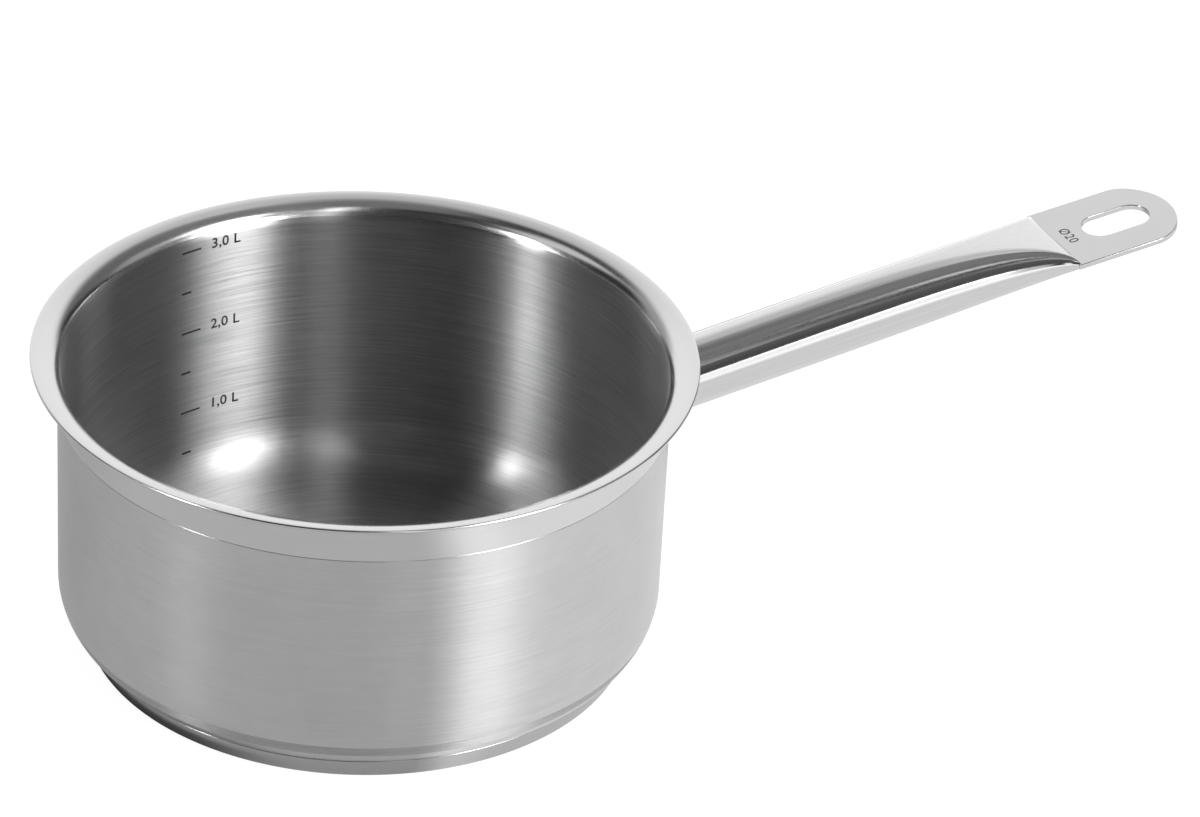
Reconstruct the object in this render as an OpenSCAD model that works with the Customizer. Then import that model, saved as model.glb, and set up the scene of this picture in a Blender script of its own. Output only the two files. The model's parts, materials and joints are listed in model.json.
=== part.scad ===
// Stainless saucepan with a capsule base and a pressed tube handle.
// Millimetres, +Z up. The origin is on the pan's axis, in the plane that the base stands on,
// and the handle points along +X.

/* [Pan] */
// Inner diameter of the straight wall
pan_bore_d = 200; // [140:1:320]
// Height of the lip's top above the surface that the pan stands on
pan_h = 105.9; // [80:0.1:220]
// Thickness of the drawn steel sheet
sheet_t = 1.2; // [0.8:0.1:2]
// Outer radius of the corner between wall and floor
corner_r = 17.5; // [8:0.5:30]
// Width of the ledge under the polished collar
collar_step = 0.35; // [0:0.05:0.8]
// Height of the polished collar, from its ledge up to the start of the lip
collar_h = 9.3; // [4:0.1:30]

/* [Pouring lip] */
// Bend radius of the neck, on the face that sees the inside
neck_r = 6.5; // [3:0.1:12]
// Angle that the neck turns outwards
neck_turn = 59; // [30:1:75]
// Bend radius of the crown, on its upper face
crown_r = 13; // [6:0.1:24]
// Angle that the crown turns back towards level
crown_turn = 29.5; // [10:0.5:40]

/* [Capsule base] */
// Thickness of the steel capsule
cap_t = 0.6; // [0.4:0.1:1.2]
// Thickness of the aluminium core under the pan's floor
core_t = 3.5; // [2:0.1:8]
// Diameter of the capsule at its open edge
cap_d = 187.4; // [120:0.1:300]
// Height of the capsule's open edge
cap_h = 7.2; // [5:0.1:12]
// Radius lost by the capsule's side on its way down to the foot
cap_draft = 1.7; // [0:0.1:4]
// Radius of the capsule's lower edge
cap_edge_r = 1.6; // [0.8:0.1:3]
// Thickness of the brazed joints and of the weld's root gap
bond_gap = 0.05; // [0.02:0.01:0.1]

/* [Handle] */
// Outer diameter of the tube
tube_d = 24; // [16:0.1:34]
// Thickness of the tube's wall
tube_t = 1; // [0.7:0.1:2]
// Drop from the lip's top down to the tube's axis, where that meets the wall
handle_drop = 36.4; // [30:0.1:80]
// Upward tilt of the handle
handle_tilt = 8.8; // [0:0.1:20]
// Length of tube that stays round
round_l = 21; // [5:1:80]
// Distance from the wall to the crease where the plate begins
crease_x = 164; // [100:1:260]
// Exponent of the flattening: 1 flattens evenly, more leaves it to the end
press_pow = 4.5; // [1:0.1:6]
// Exponent of the last drop to the crease: 1 is a straight ramp, less is steeper
press_end = 0.6; // [0.4:0.05:1]
// Exponent of the widening that comes with it
spread_pow = 1.1; // [0.8:0.05:1.5]

/* [Hanging plate] */
// Width of the plate
plate_w = 37.8; // [26:0.1:56]
// Angle that the plate bends down at the crease
plate_bend = 1.4; // [0:0.1:10]
// Distance from the crease to the plate's tip
plate_l = 46.2; // [34:0.1:90]
// Length of the rounded end
end_l = 15.3; // [13:0.1:18]
// Corner radius of the rounded end
end_corner_r = 12; // [6:0.5:12.5]
// Width of the hanging slot
slot_w = 13.4; // [6:0.1:18]
// Overall length of the hanging slot
slot_l = 25.6; // [14:0.1:40]
// Distance from the slot's outer end to the plate's tip
slot_edge = 9; // [6:0.1:16]

/* [Weld] */
// Leg length of the weld between handle and wall
weld_leg = 2.2; // [1:0.1:4]

/* [Hidden] */

$fn = 120;
over = 1;                 // how far a cutting shape passes the face that it cuts
tube_sides = 40;          // points round the flattened tube
press_steps = 22;         // sections along the flattened tube, closer together near the crease
weld_steps = 48;          // sections round the weld

wall_r = pan_bore_d / 2;
outer_r = wall_r + sheet_t;
body_z = cap_t + core_t + 2 * bond_gap;
floor_z = body_z + sheet_t;

// The lip: two arcs that share a tangent, closed by a rounded edge
crown_end = 180 - neck_turn - crown_turn;
neck_x = wall_r + neck_r;
crown_x = neck_x + (neck_r - crown_r) * cos(180 - neck_turn);
crown_z = pan_h - crown_r;
neck_z = crown_z - (neck_r - crown_r) * sin(180 - neck_turn);
neck_under_r = neck_r - sheet_t;
edge_x = crown_x + (crown_r - sheet_t / 2) * cos(crown_end);
edge_z = crown_z + (crown_r - sheet_t / 2) * sin(crown_end);
lip_steps = 8;

// The collar is a little thicker than the wall and runs up into the neck's outer face
ledge_z = neck_z - collar_h;
collar_top_a = 180 - acos((neck_under_r - collar_step) / neck_under_r);

// The capsule
cap_r = cap_d / 2;
cap_foot_r = cap_r - cap_draft;

// The handle, measured along its own axis from the pan's wall
tube_r = tube_d / 2;
core_r = tube_r - tube_t;
plate_hw = plate_w / 2;
handle_z = pan_h - handle_drop;

// The plate, measured from the crease
edge_trim = 0.1;          // what the press shears off each long edge
trim_hw = plate_hw - edge_trim;
hollow_end = 0.995;       // share of the flattening at which the two walls meet
slot_r = slot_w / 2;
slot_x2 = plate_l - slot_edge - slot_r;
slot_x1 = slot_x2 - slot_l + slot_w;
end_corner_y = trim_hw - end_corner_r;
end_x = plate_l - end_l;
end_big_r = (pow(end_l, 2) + pow(end_corner_y, 2) - pow(end_corner_r, 2)) / (2 * (end_l - end_corner_r));
end_big_x = plate_l - end_big_r;
end_wedge = 2 * end_big_r / (end_x - end_big_x);
root_len = tube_r * tan(handle_tilt) + 8;

// ---- Pan ----

// Half section of an upright tub with a rounded corner, from the axis outwards
module tub_half(radius, corner, bottom, top) {
    translate([0, bottom]) square([radius - corner, top - bottom]);
    translate([0, bottom + corner]) square([radius, top - bottom - corner]);
    translate([radius - corner, bottom + corner]) circle(corner);
}

// Points along an arc, both ends included
function arc(x, z, r, from_deg, to_deg, steps) = [
    for (i = [0 : steps])
        let (a = from_deg + (to_deg - from_deg) * i / steps)
        [x + r * cos(a), z + r * sin(a)]
];

// Half section of the collar and the lip, from the ledge up: out along the underside, round
// the edge and back along the face that is poured over
module lip_half() {
    polygon(concat(
        [[wall_r, ledge_z], [outer_r + collar_step, ledge_z]],
        arc(neck_x, neck_z, neck_under_r, collar_top_a, 180 - neck_turn, lip_steps),
        arc(crown_x, crown_z, crown_r - sheet_t, 180 - neck_turn, crown_end, lip_steps),
        arc(edge_x, edge_z, sheet_t / 2, crown_end - 180, crown_end, lip_steps),
        arc(crown_x, crown_z, crown_r, crown_end, 180 - neck_turn, lip_steps),
        arc(neck_x, neck_z, neck_r, 180 - neck_turn, 180, lip_steps)
    ));
}

module pan_half() {
    difference() {
        tub_half(outer_r, corner_r, body_z, neck_z - over);
        tub_half(wall_r, corner_r - sheet_t, floor_z, pan_h);
    }
    lip_half();
}

module pan_body() {
    color("gainsboro") rotate_extrude() pan_half();
}

// ---- Capsule base ----

// Half section of the capsule's outside, drawn in by an inset
module capsule_half(inset) {
    foot_r = cap_foot_r - inset;
    edge_r = cap_edge_r - inset;
    translate([0, inset]) square([foot_r - edge_r, cap_h]);
    translate([foot_r - edge_r, inset + edge_r]) circle(edge_r);
    polygon([
        [0, inset + edge_r],
        [foot_r, inset + edge_r],
        [cap_r - inset, cap_h],
        [cap_r - inset, cap_h + inset],
        [0, cap_h + inset],
    ]);
}

// What the base has to leave free: the drawn pan with a braze film round it
module pan_seat_half() {
    tub_half(outer_r + bond_gap, corner_r + bond_gap, body_z - bond_gap, pan_h);
}

module base_core() {
    color("darkgray") rotate_extrude() difference() {
        intersection() {
            capsule_half(cap_t + bond_gap);
            square([cap_r, cap_h - cap_t]);
        }
        pan_seat_half();
    }
}

module base_cap() {
    color("silver") rotate_extrude() difference() {
        intersection() {
            capsule_half(0);
            square([cap_r, cap_h]);
        }
        intersection() {
            capsule_half(cap_t);
            translate([0, cap_t]) square([cap_r, cap_h]);
        }
        pan_seat_half();
    }
}

// ---- Handle ----

// Places a child in the handle's frame: +X along the tube, from the outside of the wall
module on_handle() {
    translate([outer_r, 0, handle_z]) rotate([0, -handle_tilt, 0]) children();
}

// Places a child in the plate's frame: +X from the crease to the tip
module on_plate() {
    translate([crease_x, 0, 0]) rotate([0, plate_bend, 0]) children();
}

// Half height of the tube's section, from round (0) to pressed flat (1)
function press_h(u) = tube_t + core_r * pow(1 - pow(u, press_pow), press_end);
// Half width of the section, which grows as its height goes
function press_w(u) =
    press_h(u) + (plate_hw - tube_t) * pow((tube_r - press_h(u)) / core_r, spread_pow);
// One section: two half circles joined by flats, drawn in by an inset
function press_ring(x, u, inset) = [
    for (i = [0 : tube_sides - 1])
        let (a = (i + 0.5) * 360 / tube_sides, h = press_h(u) - inset, w = press_w(u) - inset)
        [x, sign(cos(a)) * (w - h) + h * cos(a), h * sin(a)]
];
// The rings of the round stretch and of the flattening, up to a share of its length
function tube_rings(behind_wall, inset, u_end) = concat(
    [press_ring(-behind_wall, 0, inset)],
    [for (k = [0 : press_steps])
        let (u = u_end * (1 - pow(1 - k / press_steps, 2)))
        press_ring(round_l + u * (crease_x - round_l), u, inset)]
);
// The flat stretch ends in a ring a little past the tip, bent down at the crease
function bent(p) = [
    crease_x + p[0] * cos(plate_bend) + p[2] * sin(plate_bend),
    p[1],
    p[2] * cos(plate_bend) - p[0] * sin(plate_bend)
];
function plate_ring() = [for (p = press_ring(plate_l + over, 1, 0)) bent(p)];

// Solid through a list of rings that hold the same number of points
module ring_solid(rings) {
    n = len(rings[0]);
    last = len(rings) - 1;
    polyhedron(
        points = [for (ring = rings) for (p = ring) p],
        faces = concat(
            [[for (i = [0 : n - 1]) i]],
            [for (k = [0 : last - 1]) for (i = [0 : n - 1])
                [k * n + i, (k + 1) * n + i, (k + 1) * n + (i + 1) % n, k * n + (i + 1) % n]],
            [[for (i = [n - 1 : -1 : 0]) last * n + i]]
        ),
        convexity = 4
    );
}

// Outline that the press trims the handle to: straight sides and an end of three tangent arcs
module trim_outline() {
    back = crease_x + root_len + over;
    translate([-back, -trim_hw]) square([back + end_x, 2 * trim_hw]);
    for (side = [-1, 1])
        translate([end_x, side * end_corner_y]) circle(end_corner_r);
    intersection() {
        translate([end_big_x, 0]) circle(end_big_r);
        polygon([
            [end_big_x, 0],
            [end_big_x, 0] + end_wedge * [end_x - end_big_x, end_corner_y],
            [end_big_x, 0] + end_wedge * [end_x - end_big_x, -end_corner_y],
        ]);
    }
    translate([end_x - over, -end_corner_y]) square([over + end_corner_r / 2, 2 * end_corner_y]);
}

module slot_outline() {
    for (x = [slot_x1, slot_x2]) translate([x, 0]) circle(slot_r);
    translate([slot_x1, -slot_r]) square([slot_x2 - slot_x1, slot_w]);
}

module handle_tube() {
    color("silver") difference() {
        on_handle() difference() {
            intersection() {
                ring_solid(concat(tube_rings(root_len, 0, 1), [plate_ring()]));
                on_plate() translate([0, 0, -pan_h]) linear_extrude(2 * pan_h) difference() {
                    trim_outline();
                    slot_outline();
                }
            }
            ring_solid(tube_rings(root_len + over, tube_t, hollow_end));
        }
        cylinder(r = outer_r + bond_gap, h = pan_h);
    }
}

// ---- Weld ----

// Where the wall lies along the handle's axis, at an angle round it and a distance from it
function wall_x(a, dist) =
    (sqrt(pow(outer_r, 2) - pow(dist * cos(a), 2)) - outer_r + dist * sin(a) * sin(handle_tilt))
    / cos(handle_tilt);
function weld_point(a, dist, lift) = [wall_x(a, dist) + lift, dist * cos(a), dist * sin(a)];

// Closed ring of weld metal with a slightly convex face, one root gap off the tube and the wall
module weld_ring() {
    section = [
        [bond_gap, bond_gap],
        [bond_gap, weld_leg],
        [0.62 * weld_leg, 0.62 * weld_leg],
        [weld_leg, bond_gap],
    ];
    m = len(section);
    polyhedron(
        points = [for (k = [0 : weld_steps - 1]) for (p = section)
            weld_point(k * 360 / weld_steps, tube_r + p[1], p[0])],
        faces = [for (k = [0 : weld_steps - 1]) for (i = [0 : m - 1])
            let (next = (k + 1) % weld_steps)
            [k * m + i, k * m + (i + 1) % m, next * m + (i + 1) % m, next * m + i]],
        convexity = 4
    );
}

module weld_bead() {
    color("lightgray") on_handle() weld_ring();
}

pan_body();
base_core();
base_cap();
handle_tube();
weld_bead();
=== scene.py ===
"""Stainless saucepan with a pressed tube handle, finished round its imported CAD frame.

Metres, in the frame of the CAD: +Z up, the pan's axis at the origin, the handle along +X.
"""

from __future__ import annotations

import json
import logging
import math
from dataclasses import dataclass, field
from enum import Enum
from typing import Any

import bmesh
import bpy
from bpy.types import Material, NodeSocket, NodeTree, Object
from mathutils import Euler, Matrix, Vector

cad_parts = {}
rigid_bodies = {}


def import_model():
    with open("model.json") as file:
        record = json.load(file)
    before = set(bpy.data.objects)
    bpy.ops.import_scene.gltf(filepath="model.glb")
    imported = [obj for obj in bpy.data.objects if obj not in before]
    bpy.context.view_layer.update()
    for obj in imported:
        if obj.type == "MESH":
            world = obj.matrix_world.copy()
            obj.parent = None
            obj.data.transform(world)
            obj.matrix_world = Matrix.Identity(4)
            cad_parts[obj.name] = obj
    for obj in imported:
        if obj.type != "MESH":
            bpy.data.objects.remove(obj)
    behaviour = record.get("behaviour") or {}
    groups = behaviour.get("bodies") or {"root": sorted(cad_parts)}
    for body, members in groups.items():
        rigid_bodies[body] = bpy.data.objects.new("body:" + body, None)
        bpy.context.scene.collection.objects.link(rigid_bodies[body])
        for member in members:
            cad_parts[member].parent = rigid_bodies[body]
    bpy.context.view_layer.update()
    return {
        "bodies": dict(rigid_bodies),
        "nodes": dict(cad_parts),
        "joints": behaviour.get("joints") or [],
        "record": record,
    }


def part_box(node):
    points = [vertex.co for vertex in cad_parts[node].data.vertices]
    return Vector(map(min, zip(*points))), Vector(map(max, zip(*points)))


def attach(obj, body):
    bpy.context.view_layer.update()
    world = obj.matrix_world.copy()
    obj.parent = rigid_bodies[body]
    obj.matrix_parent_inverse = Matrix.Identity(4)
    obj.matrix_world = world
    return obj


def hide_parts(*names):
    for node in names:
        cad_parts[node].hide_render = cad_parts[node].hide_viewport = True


LOG = logging.getLogger("saucepan")
MM = 0.001
CLOSE = 1e-6  # distance at which two vertices are one
CAPITAL = 0.7  # height of a capital letter, as a share of the text's size
HANDLE_DROP = 36.4 * MM  # from the lip down to where the tube's axis meets the wall
CM_PER_M = 100


class Slot(Enum):
    """Material slots of the record."""

    BODY = "brushed_steel_body"
    CAP = "polished_steel_cap"
    HANDLE = "polished_steel_handle"
    WELD = "weld_steel"


# ---- Points ----


def arc(
    centre: tuple[float, float], radius: float, start: float, end: float, steps: int
) -> list[tuple[float, float]]:
    """Points along an arc, both ends included.

    Args:
        centre: The arc's centre.
        radius: Its radius.
        start: Angle of the first point, in degrees.
        end: Angle of the last point, in degrees.
        steps: Number of stretches between the points.

    Returns:
        The points, from start to end.
    """
    angles = [math.radians(start + (end - start) * i / steps) for i in range(steps + 1)]
    return [(centre[0] + radius * math.cos(a), centre[1] + radius * math.sin(a)) for a in angles]


# ---- Hand tools ----


def clear_selection() -> None:
    """Leave edit mode and deselect every object."""
    if bpy.context.mode != "OBJECT":
        bpy.ops.object.mode_set(mode="OBJECT")
    bpy.ops.object.select_all(action="DESELECT")


def pick(*pieces: Object) -> None:
    """Select pieces alone, the first of them active."""
    clear_selection()
    for piece in pieces:
        piece.select_set(True)
    bpy.context.view_layer.objects.active = pieces[0]


def edit_whole(piece: Object) -> None:
    """Open a piece in edit mode, with all of it selected."""
    pick(piece)
    bpy.ops.object.mode_set(mode="EDIT")
    bpy.ops.mesh.select_all(action="SELECT")


def draw_line(name: str, points: list[Vector], closed: bool = False) -> Object:
    """Draw a line of edges by extruding one vertex from point to point.

    Args:
        name: Name of the new piece.
        points: The points that the line runs through.
        closed: Whether the last point is joined to the first.

    Returns:
        The line, as an object at the origin.
    """
    clear_selection()
    bpy.ops.mesh.primitive_plane_add(size=MM, location=points[0])
    piece = bpy.context.object
    piece.name = name
    bpy.ops.object.mode_set(mode="EDIT")
    bpy.ops.mesh.merge(type="CENTER")
    for here, there in zip(points, points[1:]):
        bpy.ops.mesh.extrude_vertices_move(TRANSFORM_OT_translate={"value": there - here})
    if closed:
        mesh = bmesh.from_edit_mesh(piece.data)
        ends = [v for v in mesh.verts if len(v.link_edges) == 1]
        for vertex in mesh.verts:
            vertex.select_set(vertex in ends)
        mesh.select_flush_mode()
        bmesh.update_edit_mesh(piece.data)
        bpy.ops.mesh.edge_face_add()
    bpy.ops.object.mode_set(mode="OBJECT")
    bpy.ops.object.transform_apply(location=True, rotation=True, scale=True)
    return piece


def spin_round(piece: Object, steps: int) -> None:
    """Spin a half section in the XZ plane once round the Z axis and close it.

    Args:
        piece: The half section, which runs from the axis back to the axis.
        steps: Number of sections round the axis.
    """
    edit_whole(piece)
    bpy.ops.mesh.spin(steps=steps, angle=math.tau, center=(0, 0, 0), axis=(0, 0, 1))
    close_edit()


def tidy_normals() -> None:
    """Merge doubles and turn all faces outwards, in edit mode."""
    bpy.ops.mesh.select_all(action="SELECT")
    bpy.ops.mesh.remove_doubles(threshold=CLOSE)
    bpy.ops.mesh.normals_make_consistent(inside=False)


def close_edit() -> None:
    """Put the normals right and leave edit mode."""
    tidy_normals()
    bpy.ops.object.mode_set(mode="OBJECT")


def smooth(piece: Object, degrees: float = 35.0) -> None:
    """Shade a piece smooth, but for edges sharper than an angle."""
    pick(piece)
    bpy.ops.object.shade_smooth_by_angle(angle=math.radians(degrees))


def apply_modifier(piece: Object, kind: str, **settings: Any) -> None:
    """Add a modifier with its settings and apply it.

    Args:
        piece: The piece it works on.
        kind: The modifier's type.
        settings: Values of the modifier's properties.
    """
    pick(piece)
    modifier = piece.modifiers.new(kind.title(), kind)
    for key, value in settings.items():
        setattr(modifier, key, value)
    bpy.ops.object.modifier_apply(modifier=modifier.name)


def write(
    words: str,
    height: float,
    spacing: float,
    weight: float = 0.0,
    steps: int = 4,
    align: str = "LEFT",
) -> Object:
    """Write words flat in X and Y and make them a mesh.

    Args:
        words: What to write.
        height: Height of its capitals.
        spacing: Space between characters, as a multiple of the usual.
        weight: How much bolder each stroke's sides are made.
        steps: Steps in each of the letters' curves.
        align: Whether they start at the origin, LEFT, or are centred on it, CENTER.

    Returns:
        The words, standing on the X axis.
    """
    clear_selection()
    bpy.ops.object.text_add(location=(0, 0, 0))
    piece = bpy.context.object
    piece.data.body = words
    piece.data.size = height / CAPITAL
    piece.data.space_character = spacing
    piece.data.offset = weight
    piece.data.resolution_u = steps
    piece.data.align_x = align
    bpy.ops.object.convert(target="MESH")
    return piece


def place(piece: Object, matrix: Matrix) -> None:
    """Move a finished piece and put the move into its mesh."""
    pick(piece)
    piece.matrix_world = matrix
    bpy.ops.object.transform_apply(location=True, rotation=True, scale=True)


def seat(piece: Object, slot: Slot, *replaced: str) -> Object:
    """Ride a piece on the pan's one body, hide the CAD nodes it stands for and log its slot.

    Args:
        piece: The finished piece.
        slot: The record's slot, which is only logged.
        replaced: CAD nodes that it stands for.

    Returns:
        The same piece.
    """
    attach(piece, "root")
    if replaced:
        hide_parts(*replaced)
    LOG.info("%s: %d faces, slot %s", piece.name, len(piece.data.polygons), slot.value)
    return piece


# ---- Materials ----


class NodeSheet:
    """A node tree, with short calls for the nodes that the finishes share."""

    def __init__(self, tree: NodeTree) -> None:
        """Start from an empty tree."""
        self.tree = tree
        tree.nodes.clear()

    def node(self, kind: str, inputs: dict[Any, Any] | None = None, **settings: Any) -> Any:
        """Add a node.

        Args:
            kind: The node's type name.
            inputs: Values or sockets for its inputs, by name or number.
            settings: Values of the node's own properties.

        Returns:
            The node.
        """
        node = self.tree.nodes.new(kind)
        for key, value in settings.items():
            setattr(node, key, value)
        for key, value in (inputs or {}).items():
            if isinstance(value, NodeSocket):
                self.tree.links.new(value, node.inputs[key])
            else:
                node.inputs[key].default_value = value
        return node

    def math(self, operation: str, first: Any, second: Any = 0.0, third: Any = 0.0) -> Any:
        """One Math node's result."""
        inputs = {0: first, 1: second, 2: third}
        return self.node("ShaderNodeMath", inputs, operation=operation).outputs[0]

    def ramp(self, value: Any, start: float, end: float, low: float = 0, high: float = 1) -> Any:
        """Ease a value from low at start to high at end."""
        inputs = {"Value": value, "From Min": start, "From Max": end, "To Min": low, "To Max": high}
        node = self.node("ShaderNodeMapRange", inputs, interpolation_type="SMOOTHSTEP")
        return node.outputs["Result"]

    def noise(self, vector: Any, scale: float, detail: float, rough: float) -> Any:
        """Noise from 0 to 1 at a vector."""
        inputs = {"Vector": vector, "Scale": scale, "Detail": detail, "Roughness": rough}
        return self.node("ShaderNodeTexNoise", inputs).outputs[0]

    def swell(self, vector: Any, scale: float) -> Any:
        """Slow, smooth noise from 0 to 1 at a vector."""
        return self.noise(vector, scale, 1.0, 0.4)

    def bearing(self, over: Any, under: Any) -> Any:
        """The angle whose tangent is over / under, in degrees."""
        return self.math("MULTIPLY", self.math("ARCTAN2", over, under), 180 / math.pi)

    def blend(self, share: Any, first: Any, second: Any) -> Any:
        """Blend from a first value to a second as the share goes from 0 to 1."""
        return self.math("MULTIPLY_ADD", share, self.math("SUBTRACT", second, first), first)

    def around(self, noise: Any, middle: float, share: float) -> Any:
        """Spread noise from 0 to 1 evenly round a middle, by a share of it either way."""
        return self.math("MULTIPLY_ADD", noise, 2 * share * middle, (1 - share) * middle)

    def grey(self, value: Any) -> Any:
        """A value as a neutral colour."""
        inputs = {"Red": value, "Green": value, "Blue": value}
        return self.node("ShaderNodeCombineColor", inputs).outputs[0]

    def glow(self, strength: Any) -> Any:
        """A white emission of a strength."""
        inputs = {"Color": (1, 1, 1, 1), "Strength": strength}
        return self.node("ShaderNodeEmission", inputs).outputs[0]

    def mix(self, share: Any, first: Any, second: Any) -> Any:
        """One shader mixed with a share of a second."""
        return self.node("ShaderNodeMixShader", {0: share, 1: first, 2: second}).outputs[0]

    def split(self, vector: Any) -> Any:
        """The three numbers of a vector."""
        return self.node("ShaderNodeSeparateXYZ", {0: vector}).outputs

    def join(self, x: Any, y: Any, z: Any) -> Any:
        """A vector of three numbers."""
        return self.node("ShaderNodeCombineXYZ", {0: x, 1: y, 2: z}).outputs[0]

    def turn(self, vector: Any, degrees: float, axis: str = "Z") -> Any:
        """A vector turned round an axis."""
        inputs = {"Vector": vector, "Angle": math.radians(degrees)}
        node = self.node("ShaderNodeVectorRotate", inputs, rotation_type=f"{axis}_AXIS")
        return node.outputs[0]

    def bump(self, height: Any, distance: Any, **normal: Any) -> Any:
        """The normal that a height raises, in metres at its highest, on another if given."""
        inputs = {"Strength": 1.0, "Distance": distance, "Height": height, **normal}
        return self.node("ShaderNodeBump", inputs).outputs[0]

    def metal(self, tone: Any, roughness: Any, normal: Any, more: dict[str, Any]) -> None:
        """Finish the tree as bare metal of a neutral tone, with more of its inputs."""
        inputs = {"Base Color": self.grey(tone), "Metallic": 1.0, "Roughness": roughness}
        shader = self.node("ShaderNodeBsdfPrincipled", {**inputs, **more, "Normal": normal})
        self.node("ShaderNodeOutputMaterial", {0: shader.outputs[0]})

    def object_point(self) -> tuple[Any, Any, Any, Any]:
        """The Object coordinates, whole and as their three numbers."""
        point = self.node("ShaderNodeTexCoord").outputs["Object"]
        x, y, z = self.split(point)
        return point, x, y, z

    def from_axis(self, x: Any, y: Any) -> Any:
        """Distance of a point from the Z axis."""
        squares = self.math("ADD", self.math("POWER", x, 2.0), self.math("POWER", y, 2.0))
        return self.math("SQRT", squares)


def new_material(name: str) -> tuple[Material, NodeSheet]:
    """Start a material, with an empty sheet for its nodes."""
    material = bpy.data.materials.new(name)
    material.use_nodes = True
    return material, NodeSheet(material.node_tree)


@dataclass(frozen=True)
class TurnedSteel:
    """Stainless steel brushed round the Z axis.

    The grain is noise that is long round the axis and short across it, so it runs round the
    wall, the corner and the floor alike.
    """

    name: str
    tint: float
    roughness: float
    anisotropy: float
    grain_depth: float  # height of the grain, in metres
    grain_pitch: float = 0.6 * MM
    grain_length: float = 30 * MM
    streak: float = 0.08  # share by which the grain varies the tint
    cloud: float = 0.03  # share by which wide patches vary it
    cloud_scale: float = 45.0  # patches to the metre
    rough_share: float = 0.2  # share by which the grain varies the roughness
    ripple: float = 0.0  # height of the slow waves that drawing leaves, in metres
    ripple_scale: float = 30.0  # waves to the metre
    polish: tuple[float, float, float] | None = None  # z where it starts, z where whole, roughness

    def make(self) -> Material:
        """Build the material."""
        material, sheet = new_material(self.name)
        point, x, y, z = sheet.object_point()
        across = sheet.math("ADD", sheet.from_axis(x, y), z)
        along = 1.0 / self.grain_length
        grain_at = sheet.join(
            sheet.math("MULTIPLY", x, along),
            sheet.math("MULTIPLY", y, along),
            sheet.math("MULTIPLY", across, 1.0 / self.grain_pitch),
        )
        grain = sheet.noise(grain_at, 1.0, 4.0, 0.65)
        cloud = sheet.noise(point, self.cloud_scale, 4.0, 0.65)
        tone = sheet.around(grain, self.tint, self.streak)
        patches = sheet.math("MULTIPLY_ADD", cloud, self.cloud, -self.cloud / 2)
        tone = sheet.math("ADD", tone, patches)
        rough = sheet.around(grain, self.roughness, self.rough_share)
        depth: Any = self.grain_depth
        if self.polish:
            start, end, smoothest = self.polish
            share = sheet.ramp(z, start, end)
            rough = sheet.blend(share, rough, smoothest)
            tone = sheet.blend(share, tone, self.tint)
            depth = sheet.math("MULTIPLY_ADD", share, -self.grain_depth, self.grain_depth)
        wave = sheet.swell(point, self.ripple_scale)
        normal = sheet.bump(grain, depth, Normal=sheet.bump(wave, self.ripple))
        round_axis = sheet.join(sheet.math("MULTIPLY", y, -1.0), x, 0.0)
        tangent = sheet.node("ShaderNodeVectorMath", {0: round_axis}, operation="NORMALIZE")
        brushed = {
            "Anisotropic": self.anisotropy,
            "Anisotropic Rotation": 0.25,
            "Tangent": tangent.outputs[0],
        }
        sheet.metal(tone, rough, normal, brushed)
        return material


@dataclass(frozen=True)
class PolishedSteel:
    """Metal polished to a mirror or to a satin, with a faint haze and fine marks."""

    name: str
    tint: float
    roughness: float
    wave: float = 0.0  # height of the slow waves that polishing leaves, in metres
    wave_scale: float = 60.0
    marks: float = 0.25  # share by which fine marks vary the roughness
    marks_scale: float = 900.0
    haze: float = 0.02  # share by which they vary the tint
    lines: float = 0.0  # share by which the lines of drawing vary the tint
    lines_tilt: float = 0.0  # angle of those lines over the X axis, in degrees
    lines_pitch: float = 0.7 * MM
    lines_length: float = 60 * MM

    def make(self) -> Material:
        """Build the material."""
        material, sheet = new_material(self.name)
        point = sheet.object_point()[0]
        fine = sheet.noise(point, self.marks_scale, 3.0, 0.6)
        wave = sheet.swell(point, self.wave_scale)
        rough = sheet.around(fine, self.roughness, self.marks)
        tone = sheet.around(fine, self.tint, self.haze)
        if self.lines:
            x, y, z = sheet.split(sheet.turn(point, self.lines_tilt, "Y"))
            line_at = sheet.join(
                sheet.math("MULTIPLY", x, 1.0 / self.lines_length),
                sheet.math("MULTIPLY", y, 1.0 / self.lines_pitch),
                sheet.math("MULTIPLY", z, 1.0 / self.lines_pitch),
            )
            line = sheet.noise(line_at, 1.0, 3.0, 0.7)
            spread = self.lines * self.tint
            tone = sheet.math("ADD", tone, sheet.math("MULTIPLY_ADD", line, 2 * spread, -spread))
        sheet.metal(tone, rough, sheet.bump(wave, self.wave), {})
        return material


@dataclass(frozen=True)
class EtchedMark:
    """The dark grey of a mark etched into steel."""

    name: str
    tint: float = 0.045
    grain: float = 0.5  # share by which the etching's grain varies the tint
    grain_scale: float = 2500.0
    roughness: float = 0.7
    sheen: float = 0.2

    def make(self) -> Material:
        """Build the material."""
        material, sheet = new_material(self.name)
        point = sheet.object_point()[0]
        grain = sheet.noise(point, self.grain_scale, 2.0, 0.6)
        tone = sheet.around(grain, self.tint, self.grain)
        shader = sheet.node(
            "ShaderNodeBsdfPrincipled",
            {"Base Color": sheet.grey(tone), "Metallic": 0.0, "Roughness": self.roughness},
        )
        shader.inputs["Specular IOR Level"].default_value = self.sheen
        sheet.node("ShaderNodeOutputMaterial", {0: shader.outputs[0]})
        return material


def dress(piece: Object, *materials: Material) -> None:
    """Give a piece its materials, in the order of its face indices."""
    piece.data.materials.clear()
    for material in materials:
        piece.data.materials.append(material)


# ---- Pan ----


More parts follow.
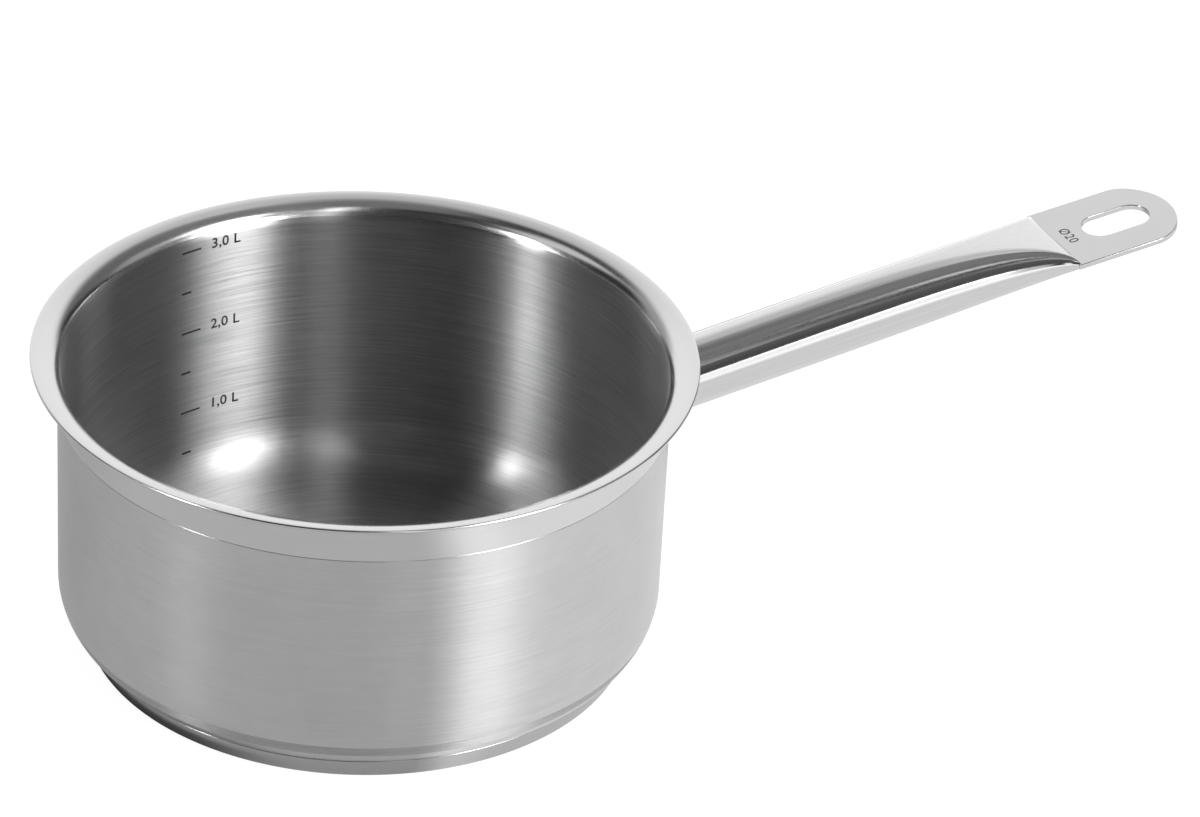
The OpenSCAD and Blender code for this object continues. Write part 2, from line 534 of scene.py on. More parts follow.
@dataclass
class Pan:
    """Drawn pan: floor, corner, wall, collar and pouring lip."""

    wall_r: float
    top_z: float
    body_z: float
    sheet: float = 1.2 * MM
    corner_r: float = 17.5 * MM
    collar_step: float = 0.35 * MM
    collar_edge: float = 0.85  # share of that step that its lower edge is rounded by
    collar_h: float = 9.3 * MM
    groove: float = 0.18 * MM  # depth of the fine groove under the collar
    neck_r: float = 6.5 * MM  # first bend of the lip, out from the wall,
    neck_turn: float = 59.0  # and its turn in degrees
    crown_r: float = 13 * MM  # second bend of the lip, over its top,
    crown_turn: float = 29.5  # and its turn in degrees
    sections: int = 300
    polish_z: float = 103.8 * MM  # height at which the inside's polish is whole

    @property
    def outer_r(self) -> float:
        """Outer radius of the wall."""
        return self.wall_r + self.sheet

    @property
    def neck_to_crown(self) -> tuple[float, float]:
        """From the centre of the neck's bend to the crown's, in radius and height."""
        lean = math.radians(180 - self.neck_turn)
        step = self.neck_r - self.crown_r
        return step * math.cos(lean), step * math.sin(lean)

    @property
    def neck(self) -> tuple[float, float]:
        """Centre of the neck's bend, as radius and height."""
        return self.wall_r + self.neck_r, self.top_z - self.crown_r - self.neck_to_crown[1]

    @property
    def crown(self) -> tuple[float, float]:
        """Centre of the crown's bend, as radius and height."""
        return self.neck[0] + self.neck_to_crown[0], self.top_z - self.crown_r

    @property
    def ledge_z(self) -> float:
        """Height of the ledge under the collar."""
        return self.neck[1] - self.collar_h

    @property
    def inner_corner(self) -> tuple[float, float]:
        """Radius of the inside's corner and the height at which it meets the wall."""
        return self.corner_r - self.sheet, self.body_z + self.corner_r

    def half_section(self) -> list[Vector]:
        """The closed half section, from the floor's centre over the lip to the underside's."""
        turn = 180 - self.neck_turn
        end = turn - self.crown_turn
        inner_corner, bend_z = self.inner_corner
        floor_z = self.body_z + self.sheet
        under = self.neck_r - self.sheet
        middle_r = self.crown_r - self.sheet / 2
        rim_at = (
            self.crown[0] + middle_r * math.cos(math.radians(end)),
            self.crown[1] + middle_r * math.sin(math.radians(end)),
        )
        collar_top = 180 - math.degrees(math.acos((under - self.collar_step) / under))
        collar_r = self.outer_r + self.collar_step
        line = [(self.wall_r * k / 12, floor_z) for k in range(10)]
        line += arc((self.wall_r - inner_corner, bend_z), inner_corner, 270, 360, 24)
        rise = self.neck[1] - bend_z
        line += [(self.wall_r, bend_z + rise * k / 8) for k in range(1, 8)]
        line += arc(self.neck, self.neck_r, 180, turn, 16)
        line += arc(self.crown, self.crown_r, turn, end, 14)[1:]
        line += arc(rim_at, self.sheet / 2, end, end - 180, 10)[1:]
        line += arc(self.crown, self.crown_r - self.sheet, end, turn, 10)[1:]
        line += arc(self.neck, under, turn, collar_top, 10)[1:]
        edge = self.collar_edge * self.collar_step
        line += arc((collar_r - edge, self.ledge_z + edge), edge, 0, -90, 6)
        line += [
            (self.outer_r - inward * self.groove, self.ledge_z - down * self.groove)
            for inward, down in ((1, 0.2), (1, 1.2), (0, 2.2))
        ]
        low = self.body_z + self.corner_r
        line += [(self.outer_r, self.ledge_z + (low - self.ledge_z) * k / 8) for k in range(1, 8)]
        line += arc((self.outer_r - self.corner_r, low), self.corner_r, 0, -90, 24)
        line += [(0.0, self.body_z)]
        return [Vector((r, 0, z)) for r, z in line]

    def build(
        self, inside: Material, outside: Material, collar: Material, polished: Material
    ) -> Object:
        """Spin the section and give its sides, the collar and the lip their finishes.

        Args:
            inside: Finish of the floor and the inside of the wall.
            outside: Finish of the outside, up to the collar.
            collar: Finish of the collar.
            polished: Finish of the lip.

        Returns:
            The pan.
        """
        piece = draw_line("pan_shell", self.half_section())
        spin_round(piece, self.sections)
        dress(piece, inside, outside, collar, polished)
        middle_r = self.wall_r + 0.5 * self.sheet
        for face in piece.data.polygons:
            outer = math.hypot(face.center.x, face.center.y) > middle_r or face.normal.z < -0.5
            polish_from = self.neck[1] if outer else self.polish_z
            if face.center.z > polish_from:
                face.material_index = 3
            else:
                face.material_index = int(outer) + int(outer and face.center.z > self.ledge_z)
        smooth(piece)
        return seat(piece, Slot.BODY, "pan_body")


# ---- Litre marks ----


@dataclass
class LitreMarks:
    """Marks etched on the inside of the wall: a line each half litre, a number each litre."""

    wall_r: float
    corner_r: float
    corner_z: float  # height at which the corner meets the wall
    azimuth: float = 105.1  # of the lines' left ends, in degrees
    first_z: float = 32.88 * MM
    litre: float = 31.95 * MM
    halves: int = 6  # half litres marked
    line_h: float = 0.7 * MM
    long_l: float = 7.9 * MM
    short_l: float = 3.9 * MM
    gap: float = 4.1 * MM
    text_h: float = 3.75 * MM
    text_rise: float = 0.7 * MM  # how far a number stands over its line
    text_weight: float = 0.09 * MM
    text_spacing: float = 1.05
    lift: float = 0.03 * MM
    thick: float = 0.02 * MM

    def wrap(self, piece: Object) -> None:
        """Bend a flat piece, drawn in X and Z, round the inside of the wall and its corner."""
        for vertex in piece.data.vertices:
            angle = math.radians(self.azimuth) - vertex.co.x / self.wall_r
            height = vertex.co.z
            drop = max(0.0, self.corner_z - height)
            inward = self.corner_r - math.sqrt(self.corner_r**2 - drop**2)
            depth = self.wall_r - inward - self.lift + vertex.co.y
            vertex.co = (depth * math.cos(angle), depth * math.sin(angle), height)

    def line(self, start: float, length: float, height: float) -> Object:
        """One mark line, flat, before it is bent."""
        clear_selection()
        middle = (start + length / 2, 0, height)
        bpy.ops.mesh.primitive_plane_add(size=1, location=middle)
        piece = bpy.context.object
        bpy.ops.object.mode_set(mode="EDIT")
        bpy.ops.transform.resize(value=(length, self.line_h, 1))
        bpy.ops.mesh.subdivide(number_cuts=9)
        bpy.ops.transform.rotate(value=math.pi / 2, orient_axis="X", center_override=middle)
        bpy.ops.object.mode_set(mode="OBJECT")
        bpy.ops.object.transform_apply(location=True, rotation=True, scale=True)
        return piece

    def label(self, words: str, height: float) -> Object:
        """One litre number, flat, before it is bent."""
        piece = write(words, self.text_h, self.text_spacing, self.text_weight)
        place(
            piece,
            Matrix.Translation((self.long_l + self.gap, 0, height - self.text_h / 2))
            @ Matrix.Rotation(math.pi / 2, 4, "X"),
        )
        return piece

    def build(self, ink: Material) -> Object:
        """Draw all the lines and numbers, bend them onto the wall and join them."""
        flat = []
        for half in range(1, self.halves + 1):
            height = self.first_z + (half / 2 - 1) * self.litre
            whole = half % 2 == 0
            flat.append(self.line(0, self.long_l if whole else self.short_l, height))
            if whole:
                flat.append(self.label(f"{half // 2},0 L", height + self.text_rise))
        pick(*flat)
        bpy.ops.object.join()
        piece = bpy.context.object
        piece.name = "litre_marks"
        apply_modifier(piece, "SOLIDIFY", thickness=self.thick, offset=0.0)
        self.wrap(piece)
        bpy.ops.object.mode_set(mode="EDIT")
        close_edit()
        dress(piece, ink)
        return seat(piece, Slot.BODY)


# ---- Capsule base ----


@dataclass
class BaseCap:
    """Pressed steel capsule that closes the sandwich base."""

    rim_r: float
    rim_z: float
    sheet: float = 0.6 * MM
    draft: float = 1.7 * MM
    edge_r: float = 1.6 * MM
    rim_round: float = 0.2 * MM
    sections: int = 300

    def half_section(self) -> list[Vector]:
        """The closed half section of the capsule's sheet."""
        foot_r = self.rim_r - self.draft
        edge_at = (foot_r - self.edge_r, self.edge_r)
        line = [(foot_r * k / 10, 0.0) for k in range(10)]
        line += arc(edge_at, self.edge_r, 270, 360, 10)
        rim_at = (self.rim_r - self.rim_round, self.rim_z - self.rim_round)
        line += arc(rim_at, self.rim_round, 0, 90, 8)
        line += [(self.rim_r - self.sheet, self.rim_z - 2 * self.rim_round)]
        line += arc(edge_at, self.edge_r - self.sheet, 360, 270, 6)
        line += [(0.0, self.sheet)]
        return [Vector((r, 0, z)) for r, z in line]

    def build(self, steel: Material) -> Object:
        """Spin the capsule."""
        piece = draw_line("base_capsule", self.half_section())
        spin_round(piece, self.sections)
        dress(piece, steel)
        smooth(piece)
        return seat(piece, Slot.CAP, "base_cap")


# ---- Handle ----


@dataclass
class Handle:
    """Steel tube, pressed flat towards a plate with a hanging slot."""

    wall_r: float
    axis_z: float
    tilt: float = 8.8  # of the tube over the level, in degrees
    tube_r: float = 12 * MM
    flat_half: float = 1 * MM  # half height of the tube where it is pressed shut
    round_l: float = 21 * MM  # where the tube starts to flatten
    crease_x: float = 164 * MM
    press_pow: float = 4.5  # the press law: how late the tube gives way,
    press_end: float = 0.6  # how steeply it drops at the crease,
    spread_pow: float = 1.1  # and how its width follows its height
    plate_half: float = 18.9 * MM
    plate_bend: float = 1.4  # of the plate down from the tube, in degrees
    plate_l: float = 46.2 * MM
    end_l: float = 15.3 * MM
    end_corner_r: float = 12 * MM
    trim: float = 0.1 * MM
    slot_w: float = 13.4 * MM
    slot_l: float = 25.6 * MM
    slot_edge: float = 9 * MM
    edge_round: float = 0.3 * MM
    plate_back: float = 0.8 * MM  # how far the plate reaches back into the tube
    sides: int = 128
    stations: int = 120
    root: float = 6 * MM  # how far the tube runs into the wall before it is cut
    root_gap: float = 0.05 * MM  # between the cut and the wall
    cut_sides: int = 360  # facets of the cylinder that cuts it,
    cut_h: float = 0.4  # and its height
    face_z: float = 0.99  # least slope of the normal on the plate's two faces

    def frame(self) -> Matrix:
        """Place of the handle's own frame: X along the tube from the wall's outside."""
        return Matrix.Translation((self.wall_r, 0, self.axis_z)) @ Matrix.Rotation(
            math.radians(-self.tilt), 4, "Y"
        )

    def plate_frame(self) -> Matrix:
        """Place of the plate's own frame: X from the crease to the tip."""
        return (
            self.frame()
            @ Matrix.Translation((self.crease_x, 0, 0))
            @ Matrix.Rotation(math.radians(self.plate_bend), 4, "Y")
        )

    def section_size(self, share: float) -> tuple[float, float]:
        """Half width and half height of the tube at a share of its flattening."""
        core = self.tube_r - self.flat_half
        height = self.flat_half + core * (1 - share**self.press_pow) ** self.press_end
        spread = ((self.tube_r - height) / core) ** self.spread_pow
        return height + (self.plate_half - self.flat_half) * spread, height

    def ring(self, x: float, share: float) -> list[Vector]:
        """Points of one section, as two half circles joined by flats."""
        width, height = self.section_size(share)
        points = []
        for i in range(self.sides):
            angle = math.tau * (i + 0.5) / self.sides
            side = math.copysign(width - height, math.cos(angle))
            points.append(Vector((x, side + height * math.cos(angle), height * math.sin(angle))))
        return points

    def tube(self, steel: Material) -> Object:
        """Loft the tube through its sections and cut its root to the pan's wall."""
        rings = [self.ring(-self.root, 0), self.ring(self.root, 0)]
        for k in range(self.stations + 1):
            share = 1 - (1 - k / self.stations) ** 2
            rings.append(self.ring(self.round_l + share * (self.crease_x - self.round_l), share))
        clear_selection()
        bpy.ops.mesh.primitive_circle_add(vertices=self.sides, radius=self.tube_r)
        piece = bpy.context.object
        piece.name = "handle_tube_polished"
        bpy.ops.object.mode_set(mode="EDIT")
        for _ in rings[1:]:
            bpy.ops.mesh.primitive_circle_add(vertices=self.sides, radius=self.tube_r)
        mesh = bmesh.from_edit_mesh(piece.data)
        mesh.verts.ensure_lookup_table()
        for k, ring in enumerate(rings):
            for i, point in enumerate(ring):
                mesh.verts[k * self.sides + i].co = point
        bmesh.update_edit_mesh(piece.data)
        bpy.ops.mesh.select_all(action="SELECT")
        bpy.ops.mesh.bridge_edge_loops()
        bpy.ops.mesh.select_all(action="DESELECT")
        bpy.ops.mesh.select_non_manifold()
        bpy.ops.mesh.edge_face_add()
        close_edit()
        place(piece, self.frame())
        self.cut_root(piece)
        dress(piece, steel)
        smooth(piece, 50)
        return seat(piece, Slot.HANDLE, "handle_tube")

    def cut_root(self, piece: Object) -> None:
        """Cut a piece back to the outside of the pan's wall."""
        clear_selection()
        bpy.ops.mesh.primitive_cylinder_add(
            vertices=self.cut_sides,
            radius=self.wall_r + self.root_gap,
            depth=self.cut_h,
            location=(0, 0, 0),
        )
        cutter = bpy.context.object
        apply_modifier(piece, "BOOLEAN", operation="DIFFERENCE", object=cutter, solver="EXACT")
        bpy.data.objects.remove(cutter)

    def outline(self) -> list[Vector]:
        """The plate's outline, from the crease round the rounded end and back."""
        half = self.plate_half - self.trim
        corner_y = half - self.end_corner_r
        end_x = self.plate_l - self.end_l
        spare = self.end_l - self.end_corner_r
        big_r = (self.end_l**2 + corner_y**2 - self.end_corner_r**2) / (2 * spare)
        big_x = self.plate_l - big_r
        meet = math.degrees(math.atan2(corner_y, end_x - big_x))
        line = [(-self.plate_back, -half)]
        line += arc((end_x, -corner_y), self.end_corner_r, -90, -meet, 20)
        line += arc((big_x, 0.0), big_r, -meet, meet, 24)[1:]
        line += arc((end_x, corner_y), self.end_corner_r, meet, 90, 20)[1:]
        line += [(-self.plate_back, half)]
        return [Vector((x, y, -self.flat_half)) for x, y in line]

    def slot_outline(self) -> list[Vector]:
        """The hanging slot's outline."""
        radius = self.slot_w / 2
        far = self.plate_l - self.slot_edge - radius
        near = far - self.slot_l + self.slot_w
        line = arc((far, 0.0), radius, -90, 90, 28) + arc((near, 0.0), radius, 90, 270, 28)
        return [Vector((x, y, -self.flat_half)) for x, y in line]

    def plate(self, face: Material, edge: Material) -> Object:
        """Cut the plate out of sheet, with its slot, and break its edges.

        Args:
            face: Finish of its two faces.
            edge: Finish of its edges and of the slot.

        Returns:
            The plate.
        """
        piece = draw_line("hanging_plate", self.outline(), closed=True)
        slot = draw_line("slot_line", self.slot_outline(), closed=True)
        pick(piece, slot)
        bpy.ops.object.join()
        edit_whole(piece)
        bpy.ops.mesh.delete(type="ONLY_FACE")
        bpy.ops.mesh.select_all(action="SELECT")
        bpy.ops.mesh.fill(use_beauty=True)
        bpy.ops.mesh.select_all(action="SELECT")
        bpy.ops.mesh.inset(thickness=2 * self.edge_round)
        bpy.ops.mesh.select_all(action="SELECT")
        bpy.ops.mesh.extrude_region_move(
            TRANSFORM_OT_translate={"value": (0, 0, 2 * self.flat_half)}
        )
        tidy_normals()
        bpy.ops.mesh.select_all(action="DESELECT")
        bpy.ops.mesh.edges_select_sharp(sharpness=math.radians(60))
        bpy.ops.mesh.bevel(offset=self.edge_round, segments=4, profile=0.5)
        close_edit()
        dress(piece, face, edge)
        for side in piece.data.polygons:
            side.material_index = int(abs(side.normal.z) < self.face_z)
        place(piece, self.plate_frame())
        smooth(piece, 40)
        return seat(piece, Slot.HANDLE)


@dataclass
class WeldBead:
    """Rippled bead between the tube and the pan's wall."""

    wall_r: float
    tube_r: float
    tilt: float
    radius: float = 1.25 * MM
    offset: float = 0.8 * MM  # of the bead's middle from the tube and from the wall
    ripples: int = 96
    ripple_h: float = 0.05 * MM
    bow: float = 1.2  # how far each ripple bows along the bead, as an angle
    steps_per_ripple: int = 8
    section_steps: int = 20

    def wall_x(self, angle: float, distance: float) -> float:
        """Where the wall lies along the handle's axis, at an angle round it and a distance."""
        aside = distance * math.cos(angle)
        lean = math.radians(self.tilt)
        depth = math.sqrt(self.wall_r**2 - aside**2) - self.wall_r
        return (depth + distance * math.sin(angle) * math.sin(lean)) / math.cos(lean)

    def build(self, metal: Material, frame: Matrix) -> Object:
        """Lay a ring round the tube, fit it to the wall and raise its ripples."""
        ring_r = self.tube_r + self.offset
        clear_selection()
        bpy.ops.mesh.primitive_torus_add(
            major_segments=self.ripples * self.steps_per_ripple,
            minor_segments=self.section_steps,
            major_radius=ring_r,
            minor_radius=self.radius,
        )
        piece = bpy.context.object
        piece.name = "weld_bead_rippled"
        bpy.ops.object.mode_set(mode="EDIT")
        mesh = bmesh.from_edit_mesh(piece.data)
        for vertex in mesh.verts:
            round_tube = math.atan2(vertex.co.y, vertex.co.x)
            section = math.atan2(vertex.co.z, math.hypot(vertex.co.x, vertex.co.y) - ring_r)
            phase = self.ripples * round_tube + self.bow * math.cos(2 * (section - math.pi / 4))
            radius = self.radius + self.ripple_h * math.sin(phase)
            distance = ring_r + radius * math.cos(section)
            along = self.offset + radius * math.sin(section) + self.wall_x(round_tube, distance)
            across = distance * math.cos(round_tube), distance * math.sin(round_tube)
            vertex.co = (along, *across)
        bmesh.update_edit_mesh(piece.data)
        close_edit()
        place(piece, frame)
        dress(piece, metal)
        smooth(piece, 60)
        return seat(piece, Slot.WELD, "weld_bead")


@dataclass
class BoreMark:
    """The pan's inner diameter in centimetres, etched across the plate near the crease."""

    words: str
    height: float = 3.6 * MM
    from_crease: float = 3.7 * MM
    lift: float = 0.01 * MM
    spacing: float = 1.1

    def build(self, ink: Material, handle: Handle) -> Object:
        """Write the mark, make it a mesh and lay it on the plate."""
        piece = write(self.words, self.height, self.spacing, steps=6, align="CENTER")
        piece.name = "bore_mark"
        apply_modifier(piece, "SOLIDIFY", thickness=2 * self.lift, offset=0.0)
        spot = Vector((self.from_crease, 0, handle.flat_half + self.lift / 2))
        place(
            piece,
            handle.plate_frame() @ Matrix.Translation(spot) @ Matrix.Rotation(-math.pi / 2, 4, "Z"),
        )
        dress(piece, ink)
        return seat(piece, Slot.HANDLE)


# ---- Studio ----


@dataclass(frozen=True)
class Panel:
    """A soft-edged pale patch of the studio round the pan.

    Azimuths are in degrees in the camera's frame: 0 to its right, 90 beyond the pan.
    """

    azimuth: float
    half_width: float
    low: float
    high: float
    strength: float
    side_edge: float = 8.0
    end_edge: float = 6.0


@dataclass(frozen=True)
class PaintedTableGlow:
    """Painted light and shade of the table that the steel mirrors, fanned out from a point before
    the pan's axis: the floor glows in these tones for reflections only.

    Each of the four-number fields is a ramp: where it starts and ends, and its tone there.
    The fan's angles are in degrees from straight before the pan, towards the right.
    """

    right: float = 4.7 * MM  # the fan's point, in the camera's frame
    away: float = -59.8 * MM
    step: tuple[float, ...] = (26.8, 28.4, 0.52, 0.6)
    rise: tuple[float, ...] = (28.0, 46.0, 0.0, 0.5)
    fall: tuple[float, ...] = (50.0, 66.0, 0.0, -0.17)
    behind: float = 0.46  # tone behind the handle,
    behind_y: tuple[float, ...] = (0.015, 0.1)  # and where it starts and is whole
    far: float = 1.6  # tone far from the pan,
    far_r: tuple[float, ...] = (0.45, 0.8)  # and where it starts and is whole
    dark_line_y: float = 0.235  # distance of a painted dark line in the glow before the pan's axis
    dark_line: tuple[float, ...] = (0.002, 0.007, 0.75, 1.0)
    contact_shadow: tuple[float, ...] = (-128.0, -98.0, 0.05, 0.95)  # painted contact shadow under the base, by bearing
    # where the painted contact shadow starts and ends, by distance from the axis
    contact_shadow_r: tuple[float, ...] = (0.095, 0.099)

    def lay(self, sheet: NodeSheet, heading: float) -> Any:
        """Lay the painted glow out on the floor.

        Args:
            sheet: Node sheet of the floor's material.
            heading: Turn from the camera's frame to the handle's, in degrees.

        Returns:
            The painted glow at a point of the floor.
        """
        point, x, y, _ = sheet.object_point()
        radius = sheet.from_axis(x, y)
        right, away, _ = sheet.split(sheet.turn(point, heading))
        fan = sheet.bearing(
            sheet.math("SUBTRACT", right, self.right), sheet.math("SUBTRACT", self.away, away)
        )
        near = sheet.math("ADD", sheet.ramp(fan, *self.step), sheet.ramp(fan, *self.rise))
        near = sheet.math("ADD", near, sheet.ramp(fan, *self.fall))
        near = sheet.blend(sheet.ramp(y, *self.behind_y), near, self.behind)
        near = sheet.blend(sheet.ramp(radius, *self.far_r), near, self.far)
        # a painted dark line across the glow
        dark_line = sheet.ramp(sheet.math("ABSOLUTE", sheet.math("ADD", y, self.dark_line_y)), *self.dark_line)
        # painted contact shadow under the base, deepest on the left
        contact_shadow = sheet.ramp(sheet.bearing(away, right), *self.contact_shadow)
        contact_shadow = sheet.ramp(radius, *self.contact_shadow_r, contact_shadow, 1.0)
        return sheet.math("MULTIPLY", sheet.math("MULTIPLY", near, dark_line), contact_shadow)


@dataclass
class Studio:
    """Camera, pale floor and the soft light round them."""

    heading: float = 24.5  # turn from the camera's frame to the handle's, in degrees
    yaw: float = 27.499  # of the camera, to the right of the Y axis,
    pitch: float = 31.023  # down from the level
    roll: float = 3.286  # and round its own line of sight, in degrees
    lens: float = 157.35
    camera_at: tuple[float, float, float] = (-0.61702, -1.35394, 0.9829)
    room: float = 0.01  # light from all round
    floor_size: float = 12.0
    floor_z: float = -0.2 * MM
    paint: float = 0.9  # grey of the floor's paint
    table: PaintedTableGlow = PaintedTableGlow()
    backdrop: float = 1.22  # glow of the floor that the camera sees
    shadow_share: float = 0.25  # how much of it is paint, which takes the pan's shadow
    table_share: float = 0.15  # how much of the mirrored table is paint
    card_ends: tuple[tuple[float, ...], ...] = (  # x, y, lowest and highest z of the two ends
        (0.116, -0.102, 0.092, 0.152),
        (0.337, -0.072, 0.125, 0.172),
    )
    card_tones: tuple[float, float] = (0.06, 0.12)  # glow at the card's foot and at its head, mirrored in the tube as its dark band
    panels: list[Panel] = field(
        default_factory=lambda: [
            Panel(92, 36, -90, 42, 0.45, 6, 14),
            Panel(92, 36, -90, 70, 0.68, 6, 8),
            Panel(90, 180, 72, 95, 0.2, 1, 6),
            Panel(10, 60, 58, 74, 0.2, 8, 6),
            Panel(27, 29, 14, 60, 0.15, 5, 5),
            Panel(139, 11, -10, 40, 0.42, 4, 6),
            Panel(176, 24, -10, 14, 0.15, 5, 4),
            Panel(176, 24, 38, 60, 0.8, 5, 4),
            Panel(-113, 33, -10, 60, 0.03, 3, 4),
            Panel(-153, 4, 14, 38, 17.0, 2, 5),
            Panel(-73, 4.5, -8, 48, 1.2, 2, 5),
            Panel(-73, 4.5, 48, 72, 3.0, 2, 5),
            Panel(-54, 9, 13, 60, 0.4, 3, 5),
            Panel(4, 12, 13, 40, 0.25, 4, 5),
            Panel(-54, 6, -10, 13, 0.7, 3, 4),
            Panel(-46, 4, -10, 14, 1.2, 2, 4),
            Panel(-44, 6, 14, 36, 20.0, 3, 4),
            Panel(-38.5, 3.5, -8, 14, 3.5, 2, 5),
            Panel(-31, 6, 13, 38, 10.0, 2, 5),
            Panel(-28, 5.5, 36, 58, 9.0, 2, 4),
            Panel(-14, 7, 38, 58, 3.0, 4, 5),
        ]
    )

    def camera(self) -> None:
        """Place the camera."""
        data = bpy.data.cameras.new("studio_camera")
        data.lens = self.lens
        data.sensor_width = 36
        camera = bpy.data.objects.new("studio_camera", data)
        bpy.context.scene.collection.objects.link(camera)
        turn = (
            Euler((0, 0, -math.radians(self.yaw))).to_matrix()
            @ Euler((math.pi / 2 - math.radians(self.pitch), 0, 0)).to_matrix()
            @ Euler((0, 0, math.radians(self.roll))).to_matrix()
        )
        camera.matrix_world = Matrix.Translation(self.camera_at) @ turn.to_4x4()
        bpy.context.scene.camera = camera

    def world(self) -> None:
        """Paint the studio's soft light into the world: white behind the camera's view."""
        world = bpy.data.worlds.new("studio_world")
        bpy.context.scene.world = world
        world.use_nodes = True
        sheet = NodeSheet(world.node_tree)
        ray = sheet.node("ShaderNodeTexCoord").outputs["Generated"]
        up = sheet.split(ray)[2]
        elevation = sheet.math("MULTIPLY", sheet.math("ARCSINE", up), 180 / math.pi)
        total: Any = self.room
        for panel in self.panels:
            x, y, _ = sheet.split(sheet.turn(ray, self.heading - panel.azimuth))
            aside = sheet.math("ABSOLUTE", sheet.bearing(y, x))
            side, end = panel.side_edge, panel.end_edge
            inside = sheet.ramp(aside, panel.half_width - side, panel.half_width + side, 1, 0)
            above = sheet.ramp(elevation, panel.low - end, panel.low + end)
            below = sheet.ramp(elevation, panel.high - end, panel.high + end, 1, 0)
            patch = sheet.math("MULTIPLY", sheet.math("MULTIPLY", inside, above), below)
            total = sheet.math("MULTIPLY_ADD", patch, panel.strength, total)
        seen = sheet.node("ShaderNodeLightPath").outputs["Is Camera Ray"]
        strength = sheet.blend(seen, total, 1.0)
        light = sheet.node("ShaderNodeBackground", {"Color": (1, 1, 1, 1), "Strength": strength})
        sheet.node("ShaderNodeOutputWorld", {0: light.outputs[0]})

    def floor(self) -> None:
        """Lay a pale floor that keeps a soft shadow, and that glows in painted tones for
        reflections.
        """
        clear_selection()
        bpy.ops.mesh.primitive_plane_add(size=self.floor_size, location=(0, 0, self.floor_z))
        floor = bpy.context.object
        floor.name = "studio_floor"
        material, sheet = new_material("pale_floor")
        painted_glow = self.table.lay(sheet, self.heading)
        paths = sheet.node("ShaderNodeLightPath").outputs
        colour = (self.paint, self.paint, self.paint, 1)
        paint = sheet.node("ShaderNodeBsdfDiffuse", {"Color": colour}).outputs[0]
        glow = sheet.glow(self.backdrop)
        plain = sheet.mix(self.shadow_share, glow, paint)
        seen = sheet.mix(paths["Is Camera Ray"], paint, plain)
        # Reflections see the table's painted glow, with a share of paint.
        mirrored = sheet.mix(self.table_share, sheet.glow(painted_glow), paint)
        whole = sheet.mix(paths["Is Glossy Ray"], seen, mirrored)
        sheet.node("ShaderNodeOutputMaterial", {0: whole})
        dress(floor, material)

    def card(self) -> None:
        """Hang a grey card beside the handle, which keeps the brightest panels off the tube; its
        dim glow is the dark band that the tube mirrors.
        """
        (near_x, near_y, near_low, near_high), (far_x, far_y, far_low, far_high) = self.card_ends
        corners = [(near_x, near_y, near_low), (far_x, far_y, far_low)]
        corners += [(far_x, far_y, far_high), (near_x, near_y, near_high)]
        card = draw_line("studio_card", [Vector(corner) for corner in corners], closed=True)
        edit_whole(card)
        bpy.ops.mesh.edge_face_add()
        bpy.ops.object.mode_set(mode="OBJECT")
        material, sheet = new_material("grey_card")
        height = sheet.object_point()[3]
        tone = sheet.ramp(height, near_low, near_high, *self.card_tones)
        sheet.node("ShaderNodeOutputMaterial", {0: sheet.glow(tone)})
        dress(card, material)
        card.visible_camera = False
        card.visible_diffuse = False

    def build(self) -> None:
        """Set up camera, world, floor and card."""
        self.camera()
        self.world()
        self.floor()
        self.card()
        bpy.context.scene.view_settings.view_transform = "Standard"


# ---- Assembly ----


def mount_radius(record: dict[str, Any], name: str) -> float:
    """Radius of a bore mount of the record."""
    for mount in record["mounts"]:
        if mount["name"] == name:
            return mount["dims"]["r_mm"] * MM
    raise KeyError(name)


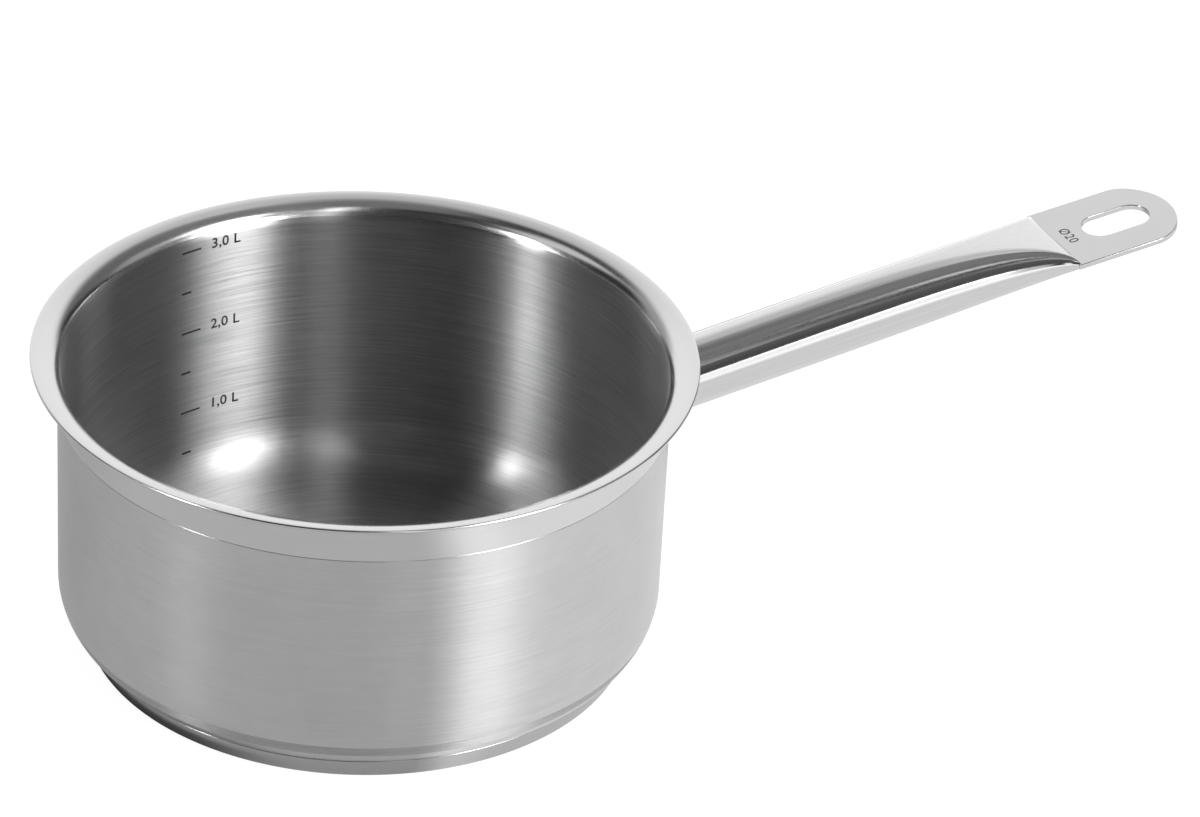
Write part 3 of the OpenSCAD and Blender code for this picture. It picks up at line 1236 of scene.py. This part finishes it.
def main() -> None:
    """Load the frame, build each part of the saucepan and report it."""
    logging.basicConfig(level=logging.INFO, format="%(name)s: %(message)s")
    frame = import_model()
    clear_selection()

    pan_low, pan_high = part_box("pan_body")
    cap_low, cap_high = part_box("base_cap")

    ink = EtchedMark("etched_mark").make()
    pan = Pan(mount_radius(frame["record"], "pan_mouth"), pan_high.z, pan_low.z)
    pan.build(
        TurnedSteel(
            "brushed_steel_inside",
            # Tint set below the outside's 0.62 so that the inside reads darker: painted shade over
            # the steel's own tone.
            tint=0.5,
            roughness=0.33,
            anisotropy=1.0,
            grain_depth=0.06 * MM,
            streak=0.42,
            polish=(99.5 * MM, pan.polish_z, 0.22),
        ).make(),
        TurnedSteel(
            "brushed_steel_outside",
            tint=0.62,
            roughness=0.25,
            anisotropy=0.9,
            grain_depth=0.003 * MM,
            streak=0.1,
            cloud=0.1,
            ripple=0.06 * MM,
        ).make(),
        TurnedSteel(
            "collar_steel",
            tint=0.72,
            roughness=0.22,
            anisotropy=0.6,
            grain_depth=0.0008 * MM,
            streak=0.04,
            cloud=0.05,
            ripple=0.02 * MM,
        ).make(),
        PolishedSteel("soft_polish_steel", tint=0.66, roughness=0.2).make(),
    )
    LitreMarks(pan.wall_r, *pan.inner_corner).build(ink)
    cap_steel = TurnedSteel(
        "satin_cap_steel", tint=0.48, roughness=0.22, anisotropy=0.6, grain_depth=0.002 * MM
    ).make()
    BaseCap(rim_r=cap_high.x, rim_z=cap_high.z).build(cap_steel)
    handle = Handle(wall_r=pan.outer_r, axis_z=pan.top_z - HANDLE_DROP)
    polished = PolishedSteel(
        "polished_tube_steel", tint=0.66, roughness=0.11, lines=0.08, lines_tilt=handle.tilt
    ).make()
    satin = PolishedSteel(
        "satin_plate_steel", tint=0.65, roughness=0.3, wave=0.1 * MM, marks=0.05
    ).make()
    handle.tube(polished)
    handle.plate(satin, polished)
    BoreMark(f"\u00d8{2 * CM_PER_M * pan.wall_r:.0f}").build(ink, handle)
    weld = PolishedSteel("weld_metal", tint=0.55, roughness=0.35).make()
    WeldBead(pan.outer_r, handle.tube_r, handle.tilt).build(weld, handle.frame())
    aluminium = PolishedSteel("aluminium", tint=0.72, roughness=0.4).make()
    dress(frame["nodes"]["base_core"], aluminium)
    LOG.info("base_core: kept as it is, in aluminium")

    Studio().build()


if __name__ == "__main__":
    main()
